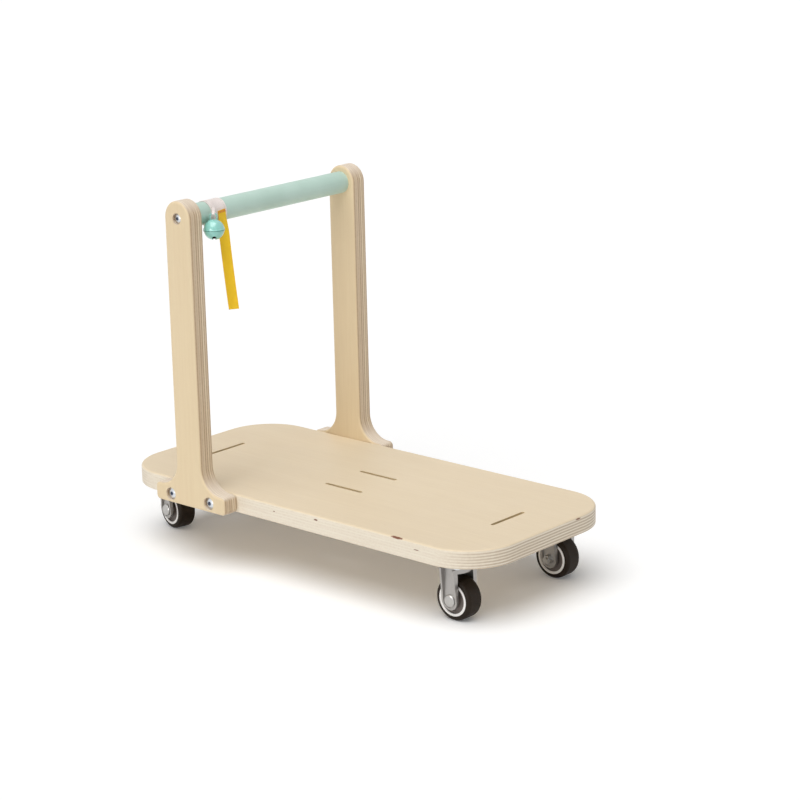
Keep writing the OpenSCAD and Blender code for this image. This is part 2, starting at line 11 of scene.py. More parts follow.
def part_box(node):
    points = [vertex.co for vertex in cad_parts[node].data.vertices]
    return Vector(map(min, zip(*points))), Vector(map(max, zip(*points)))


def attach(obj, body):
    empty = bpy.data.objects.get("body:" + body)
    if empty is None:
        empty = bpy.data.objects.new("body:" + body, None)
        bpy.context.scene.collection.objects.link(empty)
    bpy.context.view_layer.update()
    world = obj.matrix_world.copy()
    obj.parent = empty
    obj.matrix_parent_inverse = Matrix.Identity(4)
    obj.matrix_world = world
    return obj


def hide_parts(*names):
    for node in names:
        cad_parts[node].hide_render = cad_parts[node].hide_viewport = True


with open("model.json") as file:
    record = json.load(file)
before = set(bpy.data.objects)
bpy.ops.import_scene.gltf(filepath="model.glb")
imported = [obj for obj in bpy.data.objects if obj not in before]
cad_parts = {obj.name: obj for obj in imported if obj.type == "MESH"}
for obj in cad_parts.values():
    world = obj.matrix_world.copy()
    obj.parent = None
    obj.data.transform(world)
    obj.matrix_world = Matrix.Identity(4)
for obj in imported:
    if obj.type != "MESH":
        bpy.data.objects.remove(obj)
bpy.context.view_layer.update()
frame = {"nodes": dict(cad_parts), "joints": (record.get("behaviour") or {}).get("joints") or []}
nodes = frame["nodes"]

# Camera of the photograph, in metres, degrees and pixels
PHOTO_SIDE = 800
FOCAL_PIXELS = 2482.4
SENSOR_WIDTH = 36.0
CAMERA_PLACE = Vector((1.5858, -1.7021, 0.8127))
CAMERA_AZIMUTH = 41.99
CAMERA_ELEVATION = 15.69
CAMERA_ROLL = -1.32

# Light of the studio: sky and lamps give about one together on a face that looks up. Directions point to
# the lamps, spreads are in degrees
SKY_STRENGTH = 0.26
KEY_STRENGTH = 2.3
KEY_DIRECTION = Vector((0.1, -0.33, 0.94))
KEY_SPREAD = 60
FILL_STRENGTH = 0.62
FILL_DIRECTION = Vector((0.14, -0.985, 0.1))
FILL_SPREAD = 18
LAMP_DISTANCE = 3
WHITE = (1.0, 1.0, 1.0, 1.0)
FLOOR_COLOUR = (0.97, 0.97, 0.97, 1.0)
FLOOR_SIDE = 60.0
FLOOR_LIFT = 0.09

# Plywood: light and dark of the face, of long grain on the edge and of end grain on the edge; the glue
# lines and how far they show; how far single plies differ; how dark the plies along the board are at its
# ends, from their end grain and, on the deck, from painted shade on its ends; the painted shade on the
# walls of slots; the pale colour of edges across the board, which also paints light from above where they
# face up, and how far it shows; pores by their middle and half sizes, in metres
PLIES = 13
DARK_PLY = (190, 160, 128)
CUT_PLY_AND_SHADE = (196, 176, 156)
FACE_PORE = (184, 152, 112)
DARK_PORE = (118, 70, 46)
DECK_WOOD = {
    "face": ((228, 210, 180), (223, 204, 174)),
    "edge": ((235, 226, 208), (228, 216, 196)),
    "end": ((233, 223, 205), (225, 213, 193)),
    "glue": (190, 166, 138),
    "glue_share": 0.3,
    "ply_share": 0.06,
    "end_grain_and_shade_share": 0.65,
    "slot_shade": (222, 200, 158),
    "pores": (
        ((-0.0173, -0.105, 0.0702), (0.0014, 0.002, 0.0006)),
        ((0.0379, -0.105, 0.0729), (0.0026, 0.002, 0.0009)),
        ((0.1394, -0.104, 0.0764), (0.0080, 0.002, 0.0012)),
        ((0.1636, -0.105, 0.0699), (0.0036, 0.002, 0.0005)),
        ((0.2341, 0.0436, 0.0751), (0.002, 0.0048, 0.0009)),
    ),
}
POST_WOOD = {
    "face": ((226, 206, 170), (221, 199, 162)),
    "edge": ((243, 229, 204), (230, 211, 182)),
    "end": ((218, 198, 168), (205, 182, 151)),
    "glue": (150, 122, 94),
    "glue_share": 0.45,
    "ply_share": 0.5,
    "end_grain_and_shade_share": 0.3,
    "top": (240, 226, 208),
    "painted_top_light_share": 0.7,
}

# How far in from the deck's ends and sides the painted shade on the walls of slots can lie, and the blend
# there, in metres
SLOT_SHADE_MARGINS = (0.03, 0.055)
SLOT_SHADE_BLEND = 0.002

# Shares of a bolt head's radius where the painted shade of its socket begins and where it is full
SOCKET_SHADE_SHARES = (0.4, 0.28)

# Bell, in metres: radius within which its shell is bare and painted near black as the shade inside it, the
# blend there, and half widths of the painted shade along the groove of its seam
BELL_SHADED_INSIDE = 0.0093
BELL_BLEND = 0.0003
BELL_SEAM_SHADE = (0.0006, 0.0003)

# Tyre: radii where the tread begins and is full, in metres, and the mould's rings in radians to the metre
TREAD_RADII = (0.0193, 0.0204)
MOULD_RINGS = 7000.0

# Cuff, in metres and degrees: its cloth, where it starts round the bar, between which shares of the lap
# before its end it climbs, and how it waves
CLOTH_THICKNESS = 0.0005
CUFF_LENGTH = 0.086
CUFF_WIDTH = 0.0205
CUFF_CLEARANCE = 0.0002
CUFF_START = -150.0
LAP_CLIMB = (1.4, 0.8)
LAP_LIFT = 1.15 * CLOTH_THICKNESS
CUFF_RIPPLE = 0.00012
RIPPLE_WAVES = 31
CUFF_WOBBLE = 0.00018
WOBBLE_WAVES = 23

# Tab: angles round the bar of its two sewn ends, angles round the ring's wire of its fold, and the shares
# of its length where it leaves the cuff, meets the wire, leaves the wire and meets the cuff again
STRIP_THICKNESS = 0.0004
TAB_WIDTH = 0.0028
TAB_UPPER_END = (72, 32)
TAB_FOLD = (62, -183)
TAB_LOWER_END = (18, 2)
TAB_STOPS = (0.3, 0.45, 0.7, 0.85)

# Ribbon: width and length, turn in degrees and the shares of its length between which it turns, and the way
# its lower end sways, in metres
RIBBON_FLAT = (0.010, 0.100)
RIBBON_TWIST = 46
RIBBON_TURN = (0.06, 0.32)
RIBBON_SWAY = Vector((0.0013, 0.0012, 0))

# Stitches, in metres: those of the cuff's hems lie at shares of its width and start at a share of its lap,
# and those of the ribbon's close rows are shifted by shares of a stitch
STITCH_LENGTH = 0.0017
STITCH_PITCH = 0.0026
STITCH_RADIUS = 0.00028
HEM_EDGES = (0.1, 0.9)
HEM_START = 0.6
HEM_LIFT = 0.55 * CLOTH_THICKNESS
HEM_STEP = 0.004
TACK_ROWS = 4
TACK_PITCH = 0.0006
TACK_SHIFTS = (0.4, 0.6)

CASTERS = ("front_left", "front_right", "rear_left", "rear_right")
ROOT = "trolley"


def shade(red, green, blue):
    """Linear colour of an 8-bit sRGB colour."""
    parts = [part / 255 for part in (red, green, blue)]
    linear = [part / 12.92 if part <= 0.04045 else ((part + 0.055) / 1.055) ** 2.4 for part in parts]
    return (*linear, 1.0)


# Node building


def feed(tree, socket, value):
    """Links a socket to another one, or sets it to a value."""
    if isinstance(value, bpy.types.NodeSocket):
        tree.links.new(value, socket)
    else:
        socket.default_value = value


def put(tree, kind, inputs):
    """Adds a node of that kind and fills its inputs."""
    node = tree.nodes.new("ShaderNode" + kind)
    for name, value in inputs.items():
        feed(tree, node.inputs[name], value)
    return node


def sums(tree, operation, first, second=0.0):
    """Number that a sum on one or two numbers gives."""
    node = tree.nodes.new("ShaderNodeMath")
    node.operation = operation
    feed(tree, node.inputs[0], first)
    feed(tree, node.inputs[1], second)
    return node.outputs[0]


def vectors(tree, operation, first, second=(0, 0, 0)):
    """Vector, or for a length or a dot product the number, that a sum on vectors gives."""
    node = tree.nodes.new("ShaderNodeVectorMath")
    node.operation = operation
    feed(tree, node.inputs[0], first)
    feed(tree, node.inputs[1], second)
    return node.outputs["Value"] if operation in ("DOT_PRODUCT", "LENGTH") else node.outputs["Vector"]


def mix(tree, share, first, second, way="MIX"):
    """Colour between two colours."""
    node = tree.nodes.new("ShaderNodeMix")
    node.data_type = "RGBA"
    node.blend_type = way
    feed(tree, node.inputs[0], share)
    feed(tree, node.inputs[6], first)
    feed(tree, node.inputs[7], second)
    return node.outputs[2]


def between(tree, share, first, second):
    """Number between two numbers."""
    node = tree.nodes.new("ShaderNodeMix")
    feed(tree, node.inputs[0], share)
    feed(tree, node.inputs[2], first)
    feed(tree, node.inputs[3], second)
    return node.outputs[0]


def step(tree, value, low, high):
    """Mask that rises smoothly from 0 at low to 1 at high."""
    node = put(tree, "MapRange", {"Value": value, "From Min": low, "From Max": high})
    node.interpolation_type = "SMOOTHSTEP"
    return node.outputs[0]


def noise(tree, vector, scale, detail=3.0, roughness=0.5):
    """Cloudy number from 0 to 1."""
    inputs = {"Vector": vector, "Scale": scale, "Detail": detail, "Roughness": roughness}
    return put(tree, "TexNoise", inputs).outputs[0]


def stretch(tree, vector, scale):
    """Coordinates that count so many units to the metre along each axis."""
    return put(tree, "Mapping", {"Vector": vector, "Scale": scale}).outputs[0]


def bump(tree, height, depth, strength):
    """Normal of a surface with that relief, its depth in metres."""
    return put(tree, "Bump", {"Height": height, "Distance": depth, "Strength": strength}).outputs[0]


def coordinates(tree, name="Object"):
    """Coordinates on a piece: its own place, map or normal."""
    return tree.nodes.new("ShaderNodeTexCoord").outputs[name]


def new_group(name, inputs, outputs):
    """Empty shader group with named sockets: its tree, what comes in and what goes out."""
    tree = bpy.data.node_groups.new(name, "ShaderNodeTree")
    for socket, kind in inputs.items():
        tree.interface.new_socket(socket, in_out="INPUT", socket_type="NodeSocket" + kind)
    for socket, kind in outputs.items():
        tree.interface.new_socket(socket, in_out="OUTPUT", socket_type="NodeSocket" + kind)
    return tree, tree.nodes.new("NodeGroupInput").outputs, tree.nodes.new("NodeGroupOutput").inputs


def use(tree, group, inputs):
    """Outputs of a shader group that is placed in a material."""
    node = tree.nodes.new("ShaderNodeGroup")
    node.node_tree = group
    for name, value in inputs.items():
        feed(tree, node.inputs[name], value)
    return node.outputs


def new_material(name, metallic=0.0):
    """Empty material: itself, its tree and its shader's inputs."""
    material = bpy.data.materials.new(name)
    material.use_nodes = True
    tree = material.node_tree
    shader = tree.nodes["Principled BSDF"].inputs
    shader["Metallic"].default_value = metallic
    return material, tree, shader


# Shared effects


def veneer_layers():
    """Which veneer of a board a point lies in, from its depth through the board."""
    tree, given, out = new_group(
        "veneer_layers",
        {"Depth": "Float", "Waver": "Float"},
        {"Cross": "Float", "Glue": "Float", "Tone": "Float"},
    )
    count = sums(tree, "ADD", sums(tree, "MULTIPLY", given["Depth"], PLIES), given["Waver"])
    layer = sums(tree, "FLOOR", sums(tree, "MINIMUM", sums(tree, "MAXIMUM", count, 0.01), PLIES - 0.01))
    feed(tree, out["Cross"], sums(tree, "MODULO", layer, 2.0))
    joint = sums(tree, "MINIMUM", sums(tree, "MAXIMUM", sums(tree, "ROUND", count), 1.0), PLIES - 1.0)
    apart = sums(tree, "ABSOLUTE", sums(tree, "SUBTRACT", count, joint))
    feed(tree, out["Glue"], sums(tree, "SUBTRACT", 1.0, step(tree, apart, 0.04, 0.22)))
    white = put(tree, "TexWhiteNoise", {})
    white.noise_dimensions = "1D"
    feed(tree, white.inputs["W"], sums(tree, "ADD", layer, 0.5))
    feed(tree, out["Tone"], white.outputs["Value"])
    return tree


def wood_grain():
    """Grain along X: fine streaks, broad figure and short pores."""
    tree, given, out = new_group(
        "wood_grain", {"Vector": "Vector"}, {"Streak": "Float", "Figure": "Float", "Pore": "Float"}
    )
    at = given["Vector"]
    feed(tree, out["Streak"], noise(tree, stretch(tree, at, (16, 420, 420)), 1.0, 5.0, 0.62))
    feed(tree, out["Figure"], noise(tree, stretch(tree, at, (2.2, 26, 26)), 1.0, 3.0, 0.55))
    dashes = noise(tree, stretch(tree, at, (120, 1500, 1500)), 1.0, 2.0, 0.5)
    feed(tree, out["Pore"], step(tree, dashes, 0.62, 0.74))
    return tree


def handling_marks():
    """Uneven sheen that hands and cloths leave on a finish."""
    tree, given, out = new_group(
        "handling_marks", {"Vector": "Vector"}, {"Smudge": "Float", "Speck": "Float"}
    )
    at = given["Vector"]
    feed(tree, out["Smudge"], noise(tree, at, 38.0, 4.0, 0.6))
    feed(tree, out["Speck"], step(tree, noise(tree, at, 900.0, 2.0, 0.5), 0.66, 0.74))
    return tree


def woven_threads():
    """Plain weave over a cloth's own map, counted in threads: its height and which thread is on top."""
    tree, given, out = new_group(
        "woven_threads", {"Across": "Float", "Along": "Float"}, {"Height": "Float", "Over": "Float"}
    )
    profiles = []
    counts = []
    for name in ("Across", "Along"):
        offset = sums(tree, "SUBTRACT", sums(tree, "FRACT", given[name]), 0.5)
        fall = sums(tree, "MULTIPLY", sums(tree, "POWER", offset, 2.0), 3.6)
        profiles.append(sums(tree, "SUBTRACT", 1.0, fall))
        counts.append(sums(tree, "FLOOR", given[name]))
    over = sums(tree, "MODULO", sums(tree, "ADD", counts[0], counts[1]), 2.0)
    feed(tree, out["Over"], over)
    feed(tree, out["Height"], between(tree, over, profiles[0], profiles[1]))
    return tree


def axle_distance():
    """Distance of a point from a wheel's axle, and along it from the wheel's middle."""
    tree, given, out = new_group(
        "axle_distance",
        {"Vector": "Vector", "Centre": "Vector", "Axle": "Vector"},
        {"Radius": "Float", "Along": "Float"},
    )
    arm = vectors(tree, "SUBTRACT", given["Vector"], given["Centre"])
    along = vectors(tree, "DOT_PRODUCT", arm, given["Axle"])
    feed(tree, out["Along"], along)
    whole = vectors(tree, "DOT_PRODUCT", arm, arm)
    square = sums(tree, "SUBTRACT", whole, sums(tree, "MULTIPLY", along, along))
    feed(tree, out["Radius"], sums(tree, "SQRT", sums(tree, "MAXIMUM", square, 0.0)))
    return tree


VENEERS = veneer_layers()
GRAIN = wood_grain()
MARKS = handling_marks()
WEAVE = woven_threads()
AXLE = axle_distance()


# Finishes


def face_veneer(tree, grain, wood):
    """Colour of a board's faces: streaks and figure of the grain, and faint pores."""
    fine = sums(tree, "MULTIPLY", grain["Streak"], 0.55)
    share = sums(tree, "ADD", fine, sums(tree, "MULTIPLY", grain["Figure"], 0.5))
    light, dark = (shade(*colour) for colour in wood["face"])
    face = mix(tree, step(tree, share, 0.3, 0.75), light, dark)
    return mix(tree, sums(tree, "MULTIPLY", grain["Pore"], 0.06), face, shade(*FACE_PORE))


def cut_edge(tree, layers, streak, across_board, along_board, wood):
    """Colour of a board's edges, ply by ply: across_board is 1 on edges that cut the face grain."""
    light, dark = (shade(*colour) for colour in wood["edge"])
    long_grain = mix(tree, step(tree, streak, 0.35, 0.72), light, dark)
    light, dark = (shade(*colour) for colour in wood["end"])
    end_grain = mix(tree, step(tree, streak, 0.32, 0.7), light, dark)
    end_on = between(tree, layers["Cross"], across_board, along_board)
    edge = mix(tree, step(tree, end_on, 0.3, 0.8), long_grain, end_grain)
    ply_share = sums(tree, "MULTIPLY", layers["Tone"], wood["ply_share"])
    edge = mix(tree, ply_share, edge, shade(*DARK_PLY), "MULTIPLY")
    # Long plies cut across at the board's ends are darkened: their end grain, and on the deck also painted
    # shade on those ends.
    cut_off_and_shaded = sums(tree, "MULTIPLY", sums(tree, "SUBTRACT", 1.0, layers["Cross"]), across_board)
    end_grain_and_shade_share = sums(tree, "MULTIPLY", cut_off_and_shaded, wood["end_grain_and_shade_share"])
    edge = mix(tree, end_grain_and_shade_share, edge, shade(*CUT_PLY_AND_SHADE), "MULTIPLY")
    # Edges across a standing board grow paler the more they face up: partly their pale cut grain, partly
    # painted light from above.
    if "top" in wood:
        upward = sums(tree, "MULTIPLY", step(tree, across_board, 0.2, 0.9), wood["painted_top_light_share"])
        edge = mix(tree, upward, edge, shade(*wood["top"]))
    return edge


def glue_lines(tree, layers, long_way, along_board, edge, wood):
    """Edge colour with the broken lines of glue between its plies."""
    broken = step(tree, noise(tree, stretch(tree, long_way, (7, 7, 300)), 1.0, 2.0), 0.3, 0.7)
    shown = between(tree, along_board, wood["glue_share"], 0.35 * wood["glue_share"])
    share = sums(tree, "MULTIPLY", sums(tree, "MULTIPLY", layers["Glue"], broken), shown)
    return mix(tree, share, edge, shade(*wood["glue"]))


def shaded_slot_walls(tree, at, high, edge, wood):
    """Edge colour that gives way to painted shade on the slots' walls, away from the board's outline."""
    outer = [
        step(tree, sums(tree, "ABSOLUTE", at[axis]), high[axis] - margin, high[axis] - margin + SLOT_SHADE_BLEND)
        for axis, margin in enumerate(SLOT_SHADE_MARGINS)
    ]
    # Painted shade: the slots' walls take a darker tan than the other edges.
    return mix(tree, sums(tree, "MAXIMUM", *outer), shade(*wood["slot_shade"]), edge)


def birch_plywood(name, node, through, along, wood):
    """Lacquered birch plywood: through and along are the axes of its thickness and of its face grain."""
    material, tree, shader = new_material(name)
    low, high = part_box(node)
    aside = 3 - through - along
    at = put(tree, "SeparateXYZ", {"Vector": coordinates(tree)}).outputs
    facing = put(tree, "SeparateXYZ", {"Vector": coordinates(tree, "Normal")}).outputs
    turned = [sums(tree, "ABSOLUTE", facing[axis]) for axis in range(3)]
    long_way = put(tree, "CombineXYZ", {"X": at[along], "Y": at[aside], "Z": at[through]}).outputs[0]
    cross_way = put(tree, "CombineXYZ", {"X": at[aside], "Y": at[along], "Z": at[through]}).outputs[0]
    grain = use(tree, GRAIN, {"Vector": long_way})
    cross_grain = use(tree, GRAIN, {"Vector": cross_way})

    span = {"Value": at[through], "From Min": low[through], "From Max": high[through]}
    depth = put(tree, "MapRange", span).outputs[0]
    waver = sums(tree, "MULTIPLY", sums(tree, "SUBTRACT", grain["Figure"], 0.5), 0.9)
    layers = use(tree, VENEERS, {"Depth": depth, "Waver": waver})
    streak = between(tree, layers["Cross"], grain["Streak"], cross_grain["Streak"])

    face = face_veneer(tree, grain, wood)
    edge = cut_edge(tree, layers, streak, turned[along], turned[aside], wood)
    edge = glue_lines(tree, layers, long_way, turned[aside], edge, wood)
    if "slot_shade" in wood:
        edge = shaded_slot_walls(tree, at, high, edge, wood)
    on_edge = sums(tree, "SUBTRACT", 1.0, step(tree, turned[through], 0.25, 0.8))
    colour = mix(tree, on_edge, face, edge)
    for middle, half in wood.get("pores", ()):
        arm = vectors(tree, "DIVIDE", vectors(tree, "SUBTRACT", coordinates(tree), middle), half)
        ragged = sums(tree, "ADD", vectors(tree, "LENGTH", arm), cross_grain["Streak"])
        colour = mix(tree, step(tree, ragged, 1.6, 1.1), colour, shade(*DARK_PORE))
    feed(tree, shader["Base Color"], colour)
    marks = use(tree, MARKS, {"Vector": coordinates(tree)})
    feed(tree, shader["Roughness"], between(tree, marks["Smudge"], 0.42, 0.62))
    feed(tree, shader["Normal"], bump(tree, between(tree, on_edge, grain["Streak"], streak), 0.00008, 0.5))
    return material


def mint_paint():
    """Satin paint over the turned bar, with faint lines of the brush along it."""
    material, tree, shader = new_material("mint_paint")
    at = coordinates(tree)
    lines = noise(tree, stretch(tree, at, (700, 14, 700)), 1.0, 4.0, 0.6)
    clouds = noise(tree, at, 28.0, 3.0)
    colour = mix(tree, step(tree, clouds, 0.3, 0.7), shade(193, 218, 207), shade(185, 211, 199))
    brushed = sums(tree, "MULTIPLY", lines, 0.25)
    feed(tree, shader["Base Color"], mix(tree, brushed, colour, shade(178, 208, 194)))
    feed(tree, shader["Roughness"], between(tree, clouds, 0.36, 0.52))
    feed(tree, shader["Normal"], bump(tree, lines, 0.00006, 0.5))
    return material


def mint_enamel():
    """Glossy stoved enamel of the bell, with painted shade along its seam and painted near-black shade on
    its bare inside.
    """
    material, tree, shader = new_material("mint_enamel")
    shader["Coat Weight"].default_value = 1.0
    shader["Coat Roughness"].default_value = 0.12
    low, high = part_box("bell_bottom")
    middle = ((low.x + high.x) / 2, (low.y + high.y) / 2, high.z)
    at = coordinates(tree)
    clouds = noise(tree, at, 160.0, 3.0)
    paint = mix(tree, step(tree, clouds, 0.3, 0.7), shade(146, 212, 202), shade(137, 203, 192))
    distance = vectors(tree, "LENGTH", vectors(tree, "SUBTRACT", at, middle))
    # Painted shade: inside the shell the colour is near black.
    outside = step(tree, distance, BELL_SHADED_INSIDE, BELL_SHADED_INSIDE + BELL_BLEND)
    height = put(tree, "SeparateXYZ", {"Vector": at}).outputs["Z"]
    off_seam = sums(tree, "ABSOLUTE", sums(tree, "SUBTRACT", height, middle[2]))
    # Painted shade: a darker line along the groove of the seam.
    seam = step(tree, off_seam, *BELL_SEAM_SHADE)
    paint = mix(tree, seam, paint, shade(104, 164, 152))
    feed(tree, shader["Base Color"], mix(tree, outside, shade(16, 18, 17), paint))
    feed(tree, shader["Roughness"], between(tree, clouds, 0.16, 0.28))
    feed(tree, shader["Normal"], bump(tree, noise(tree, at, 900.0, 2.0), 0.00004, 0.35))
    return material


def socket_shade(tree, at, bolts):
    """1 in the sockets of a node's bolts, where shade is painted; the bolts lie along Y at the two ends of
    the node's box.
    """
    low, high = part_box(bolts)
    middle = (low + high) / 2
    radius = (high.z - low.z) / 2
    place = put(tree, "SeparateXYZ", {"Vector": vectors(tree, "SUBTRACT", at, middle)}).outputs
    ahead = sums(tree, "SUBTRACT", sums(tree, "ABSOLUTE", place["X"]), high.x - middle.x - radius)
    square = sums(tree, "ADD", sums(tree, "POWER", ahead, 2.0), sums(tree, "POWER", place["Z"], 2.0))
    return step(tree, sums(tree, "SQRT", square), *(share * radius for share in SOCKET_SHADE_SHARES))


def zinc_plate(name, bright, dull, polish, bolts=None):
    """Zinc plating: clouds of brighter and duller metal, fine scratches and specks, and painted shade in
    bolts' sockets.
    """
    material, tree, shader = new_material(name, metallic=1.0)
    at = coordinates(tree)
    marks = use(tree, MARKS, {"Vector": at})
    scratches = noise(tree, stretch(tree, at, (260, 260, 1600)), 1.0, 3.0, 0.6)
    spangle = put(tree, "TexVoronoi", {"Vector": at, "Scale": 420.0}).outputs["Color"]
    broad = sums(tree, "MULTIPLY", marks["Smudge"], 0.85)
    clouded = sums(tree, "ADD", broad, sums(tree, "MULTIPLY", spangle, 0.15))
    colour = mix(tree, step(tree, clouded, 0.25, 0.75), shade(*bright), shade(*dull))
    specks = sums(tree, "MULTIPLY", marks["Speck"], 0.2)
    colour = mix(tree, specks, colour, shade(110, 106, 100))
    if bolts:
        # Painted shade: the bolts' sockets take a dark blue-grey.
        colour = mix(tree, socket_shade(tree, at, bolts), colour, shade(84, 96, 120))
    feed(tree, shader["Base Color"], colour)
    feed(tree, shader["Roughness"], between(tree, scratches, polish - 0.06, polish + 0.08))
    feed(tree, shader["Normal"], bump(tree, scratches, 0.000008, 0.3))
    return material


def plain_metal(name, bright, dull, polish):
    """Turned or ground metal: faint clouds and the fine grain that the tool leaves."""
    material, tree, shader = new_material(name, metallic=1.0)
    at = coordinates(tree)
    clouds = noise(tree, at, 240.0, 3.0)
    feed(tree, shader["Base Color"], mix(tree, clouds, shade(*bright), shade(*dull)))
    feed(tree, shader["Roughness"], between(tree, clouds, polish - 0.05, polish + 0.07))
    feed(tree, shader["Normal"], bump(tree, noise(tree, at, 1400.0, 2.0), 0.00002, 0.4))
    return material


def joint_line(name):
    """Place of a joint and the direction of its axis."""
    joint = next(row for row in frame["joints"] if row["name"] == name)
    return Vector(joint["pos_m"]), Vector(joint["axis"]).normalized()


def tyre_rubber(caster):
    """Brown-black rubber: a scuffed tread, mould rings on the side walls and a dull bloom."""
    material, tree, shader = new_material(caster + "_tyre_rubber")
    centre, axle = joint_line(caster + "_roll")
    at = coordinates(tree)
    wheel = use(tree, AXLE, {"Vector": at, "Centre": centre, "Axle": axle})
    marks = use(tree, MARKS, {"Vector": at})
    tread = step(tree, wheel["Radius"], *TREAD_RADII)
    worn = sums(tree, "MULTIPLY", tread, step(tree, noise(tree, at, 240.0, 4.0, 0.65), 0.35, 0.75))
    shader["Specular IOR Level"].default_value = 0.16
    colour = mix(tree, marks["Smudge"], shade(40, 30, 21), shade(31, 23, 15))
    colour = mix(tree, sums(tree, "MULTIPLY", worn, 0.4), colour, shade(54, 43, 33))
    dust = sums(tree, "MULTIPLY", marks["Speck"], 0.3)
    feed(tree, shader["Base Color"], mix(tree, dust, colour, shade(96, 86, 76)))
    feed(tree, shader["Roughness"], between(tree, worn, 0.46, 0.68))
    rings = sums(tree, "SINE", sums(tree, "MULTIPLY", wheel["Radius"], MOULD_RINGS))
    height = sums(tree, "ADD", sums(tree, "MULTIPLY", rings, 0.5), noise(tree, at, 1500.0, 3.0))
    feed(tree, shader["Normal"], bump(tree, height, 0.00004, 0.5))
    return material


def moulded_plastic(name, colour, second, polish):
    """Moulded plastic with a fine spark-eroded grain."""
    material, tree, shader = new_material(name)
    at = coordinates(tree)
    marks = use(tree, MARKS, {"Vector": at})
    cloudy = step(tree, marks["Smudge"], 0.3, 0.7)
    feed(tree, shader["Base Color"], mix(tree, cloudy, shade(*colour), shade(*second)))
    feed(tree, shader["Roughness"], between(tree, marks["Smudge"], polish - 0.06, polish + 0.1))
    feed(tree, shader["Normal"], bump(tree, noise(tree, at, 2200.0, 2.0), 0.00003, 0.5))
    return material


def woven_cloth(name, flat, pitch, colours, edge_colour, rib):
    """Woven cloth on its own map: pitch is the thread's spacing across and along, in metres."""
    material, tree, shader = new_material(name)
    shader["Sheen Weight"].default_value = 0.1
    shader["Sheen Roughness"].default_value = 0.5
    place = put(tree, "SeparateXYZ", {"Vector": coordinates(tree, "UV")}).outputs
    across = sums(tree, "MULTIPLY", place["X"], flat[0] / pitch[0])
    along = sums(tree, "MULTIPLY", place["Y"], flat[1] / pitch[1])
    weave = use(tree, WEAVE, {"Across": across, "Along": along})
    fuzz = noise(tree, coordinates(tree), 2600.0, 3.0, 0.6)
    soft = noise(tree, coordinates(tree), 130.0, 3.0)
    colour = mix(tree, weave["Over"], shade(*colours[0]), shade(*colours[1]))
    # Painted shade: the cloth darkens between the threads, where they dip.
    colour = mix(tree, step(tree, weave["Height"], 0.5, 0.1), colour, shade(*colours[2]))
    colour = mix(tree, sums(tree, "MULTIPLY", soft, 0.35), colour, shade(*colours[1]))
    from_edge = sums(tree, "ABSOLUTE", sums(tree, "SUBTRACT", place["X"], 0.5))
    selvedge = step(tree, from_edge, 0.44, 0.47)
    border = sums(tree, "MULTIPLY", selvedge, 0.5)
    feed(tree, shader["Base Color"], mix(tree, border, colour, shade(*edge_colour)))
    feed(tree, shader["Roughness"], between(tree, fuzz, 0.62, 0.85))
    height = sums(tree, "ADD", weave["Height"], sums(tree, "MULTIPLY", fuzz, 0.3))
    feed(tree, shader["Normal"], bump(tree, height, rib, 0.8))
    return material


def sewing_thread(name, colour, second):
    """Twisted thread: slanting plies over each stitch."""
    material, tree, shader = new_material(name)
    slant = put(tree, "TexWave", {"Vector": coordinates(tree), "Scale": 900.0, "Distortion": 0.6})
    slant.bands_direction = "DIAGONAL"
    twist = slant.outputs["Fac"]
    feed(tree, shader["Base Color"], mix(tree, twist, shade(*colour), shade(*second)))
    feed(tree, shader["Roughness"], between(tree, twist, 0.55, 0.75))
    feed(tree, shader["Normal"], bump(tree, twist, 0.00006, 0.6))
    return material


def finish_solids():
    """Gives every CAD node its finish."""
    bolt_zinc = (226, 230, 234), (200, 204, 208), 0.3
    stamping = zinc_plate("zinc_stampings", (173, 170, 167), (163, 160, 157), 0.34)
    hardware = zinc_plate("zinc_hardware", (192, 190, 187), (176, 174, 171), 0.3)
    steel = plain_metal("bearing_steel", (214, 214, 212), (186, 186, 184), 0.16)
    brass = plain_metal("brass_inserts", (214, 182, 112), (184, 148, 84), 0.3)
    hub = moulded_plastic("hub_plastic", (120, 110, 104), (106, 96, 90), 0.48)
    trim = moulded_plastic("trim_plastic", (248, 245, 242), (241, 237, 233), 0.3)
    # Painted shade: the pellet inside the bell is made near black.
    shaded_pellet = plain_metal("pellet_steel", (40, 40, 39), (30, 30, 29), 0.3)
    enamel = mint_enamel()
    finishes = {
        "deck": birch_plywood("deck_plywood", "deck", through=2, along=0, wood=DECK_WOOD),
        "upright_left": birch_plywood(
            "left_upright_plywood", "upright_left", through=1, along=2, wood=POST_WOOD
        ),
        "upright_right": birch_plywood(
            "right_upright_plywood", "upright_right", through=1, along=2, wood=POST_WOOD
        ),
        "handle_bar": mint_paint(),
        "foot_bolts": zinc_plate("foot_bolt_zinc", *bolt_zinc, bolts="foot_bolts"),
        "handle_bolts": zinc_plate("handle_bolt_zinc", *bolt_zinc, bolts="handle_bolts"),
        "plate_screws": zinc_plate("screw_zinc", *bolt_zinc),
        "foot_inserts": brass,
        "handle_inserts": brass,
        "bell_ring": enamel,
        "bell_pellet": shaded_pellet,
        "bell_top": enamel,
        "bell_bottom": enamel,
    }
    for caster in CASTERS:
        finishes[caster + "_plate"] = stamping
        finishes[caster + "_fork"] = stamping
        finishes[caster + "_kingpin"] = hardware
        finishes[caster + "_axle_bolt"] = hardware
        finishes[caster + "_axle_nut"] = hardware
        finishes[caster + "_balls"] = steel
        finishes[caster + "_bush"] = steel
        finishes[caster + "_hub"] = hub
        finishes[caster + "_tyre"] = tyre_rubber(caster)
        finishes[caster + "_trim_rings"] = trim
    for name, material in finishes.items():
        for holder in nodes[name].material_slots:
            holder.material = material


# Modelling


def deselect():
    """Leaves nothing selected, for the operators that act on all that is."""
    bpy.ops.object.select_all(action="DESELECT")


